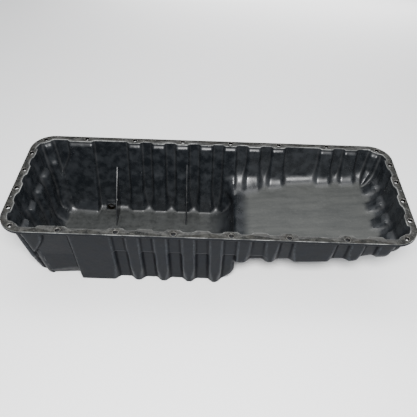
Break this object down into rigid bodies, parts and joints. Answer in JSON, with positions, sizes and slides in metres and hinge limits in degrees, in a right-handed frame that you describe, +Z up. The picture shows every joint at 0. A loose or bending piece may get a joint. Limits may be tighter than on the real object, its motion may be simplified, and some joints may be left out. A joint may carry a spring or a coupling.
{
  "type": "engine oil pan",
  "caption": "Deep-well moulded oil pan for a heavy truck engine, with corrugated walls, a bolted flange, surge baffles and a screw-out magnetic drain plug.",
  "frame": {"origin": "centre of the bounding box at its base, on the flat bottom of the deep well", "axes": "+X along the pan towards the shallow end, +Y across it towards the drain plug's wall, +Z up towards the flange"},
  "size_m": [1.18, 0.444, 0.272],
  "materials": {
    "composite": "moulded glass-filled composite, satin, worn grey on the flange",
    "baffle_composite": "moulded, satin",
    "sleeve_steel": "turned, dull",
    "brass": "machined",
    "rivet_steel": "satin",
    "washer_aluminium": "soft, satin",
    "plug_steel": "zinc plated",
    "magnet": "sintered, dark"
  },
  "bodies": {
    "pan": {"pan_shell": "composite", "bolt_sleeve_01": "sleeve_steel", "bolt_sleeve_02": "sleeve_steel", "bolt_sleeve_03": "sleeve_steel", "bolt_sleeve_04": "sleeve_steel", "bolt_sleeve_05": "sleeve_steel", "bolt_sleeve_06": "sleeve_steel", "bolt_sleeve_07": "sleeve_steel", "bolt_sleeve_08": "sleeve_steel", "bolt_sleeve_09": "sleeve_steel", "bolt_sleeve_10": "sleeve_steel", "bolt_sleeve_11": "sleeve_steel", "bolt_sleeve_12": "sleeve_steel", "bolt_sleeve_13": "sleeve_steel", "bolt_sleeve_14": "sleeve_steel", "bolt_sleeve_15": "sleeve_steel", "bolt_sleeve_16": "sleeve_steel", "bolt_sleeve_17": "sleeve_steel", "bolt_sleeve_18": "sleeve_steel", "bolt_sleeve_19": "sleeve_steel", "bolt_sleeve_20": "sleeve_steel", "bolt_sleeve_21": "sleeve_steel", "bolt_sleeve_22": "sleeve_steel", "bolt_sleeve_23": "sleeve_steel", "bolt_sleeve_24": "sleeve_steel", "drain_insert": "brass", "surge_baffle_left": "baffle_composite", "surge_baffle_right": "baffle_composite", "baffle_rivet_left": "rivet_steel", "baffle_rivet_right": "rivet_steel"},
    "washer": {"drain_washer": "washer_aluminium"},
    "plug": {"drain_plug": "plug_steel", "plug_magnet": "magnet"}
  },
  "joints": [
    {"name": "plug_travel", "type": "slide", "parent": "pan", "child": "washer", "axis": [0, 1, 0], "range_m": [0, 0.024]},
    {"name": "plug_turn", "type": "hinge", "parent": "washer", "child": "plug", "pos_m": [-0.352, 0.176, 0.02], "axis": [0, 1, 0], "range_deg": [0, 5760]}
  ],
  "couplings": [
    {"joint": "plug_travel", "follows": "plug_turn", "m_per_rad": 0.00023873}
  ]
}
